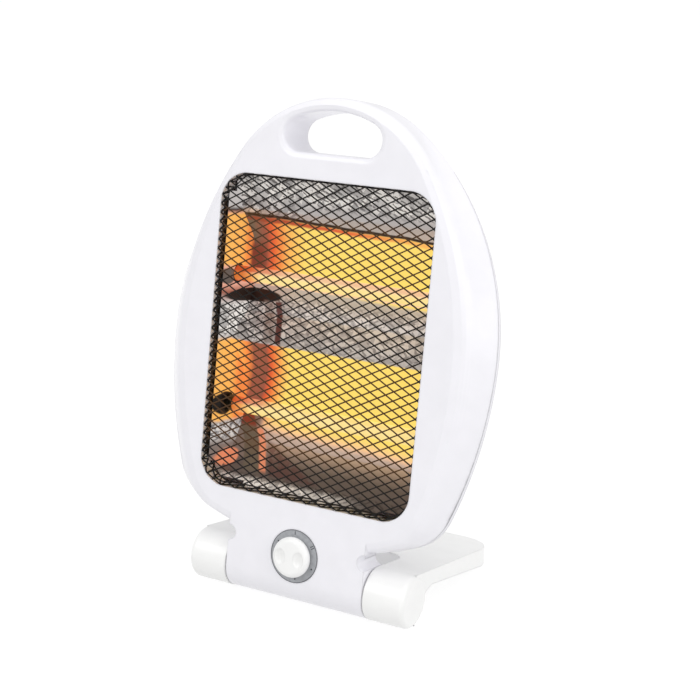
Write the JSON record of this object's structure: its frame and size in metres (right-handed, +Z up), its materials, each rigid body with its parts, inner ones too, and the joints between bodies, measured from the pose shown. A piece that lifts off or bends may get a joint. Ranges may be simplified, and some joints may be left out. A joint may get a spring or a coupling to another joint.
{
  "type": "quartz heater",
  "caption": "Portable egg-shaped quartz heater that leans back on a folding foot, with a carry handle, a diamond mesh guard over glowing tubes and a rotary dial.",
  "frame": {"origin": "bottom centre of the bounding box, on the surface the heater stands on", "axes": "+Z up, -Y towards the front with the mesh guard, +X to the right seen from the front"},
  "size_m": [0.2728, 0.1686, 0.371],
  "materials": {
    "white_plastic": "gloss",
    "guard_black": "satin",
    "reflector_sheet": "polished",
    "quartz": "clear",
    "glowing_wire": "glowing",
    "ceramic": "matt",
    "steel": "plated",
    "dial_grey": "matt",
    "switch_black": "matt",
    "terminal_cream": "matt",
    "washer_grey": "matt",
    "pad_rubber": "matt"
  },
  "bodies": {
    "housing": {"front_shell": "white_plastic", "rear_shell": "white_plastic", "mesh_guard": "guard_black", "reflector": "reflector_sheet", "left_end_plate": "reflector_sheet", "right_end_plate": "reflector_sheet", "upper_quartz_tube": "quartz", "lower_quartz_tube": "quartz", "upper_heating_coil": "glowing_wire", "lower_heating_coil": "glowing_wire", "upper_left_tube_cap": "ceramic", "upper_right_tube_cap": "ceramic", "lower_left_tube_cap": "ceramic", "lower_right_tube_cap": "ceramic", "upper_left_terminal": "steel", "upper_right_terminal": "steel", "lower_left_terminal": "steel", "lower_right_terminal": "steel", "left_tube_bracket": "steel", "right_tube_bracket": "steel", "bracket_screws": "steel", "reflector_screws": "steel", "switch_screws": "steel", "housing_screws": "steel", "left_hinge_pin": "steel", "right_hinge_pin": "steel", "dial_ring": "dial_grey", "rotary_switch": "switch_black", "tilt_switch": "switch_black", "thermal_cutout": "switch_black", "cord_gland": "switch_black", "terminal_block": "terminal_cream", "left_hinge_washer": "washer_grey", "right_hinge_washer": "washer_grey"},
    "knob": {"knob": "white_plastic", "switch_shaft": "switch_black"},
    "foot": {"foot": "white_plastic", "left_foot_pad": "pad_rubber", "right_foot_pad": "pad_rubber"}
  },
  "joints": [
    {"name": "foot_fold", "type": "hinge", "parent": "housing", "child": "foot", "pos_m": [0, -0.05868, 0.0199], "axis": [1, 0, 0], "range_deg": [0, 40]},
    {"name": "knob_turn", "type": "hinge", "parent": "housing", "child": "knob", "pos_m": [0, -0.07444, 0.04184], "axis": [0, -0.9833, 0.1822], "range_deg": [-60, 60]}
  ]
}
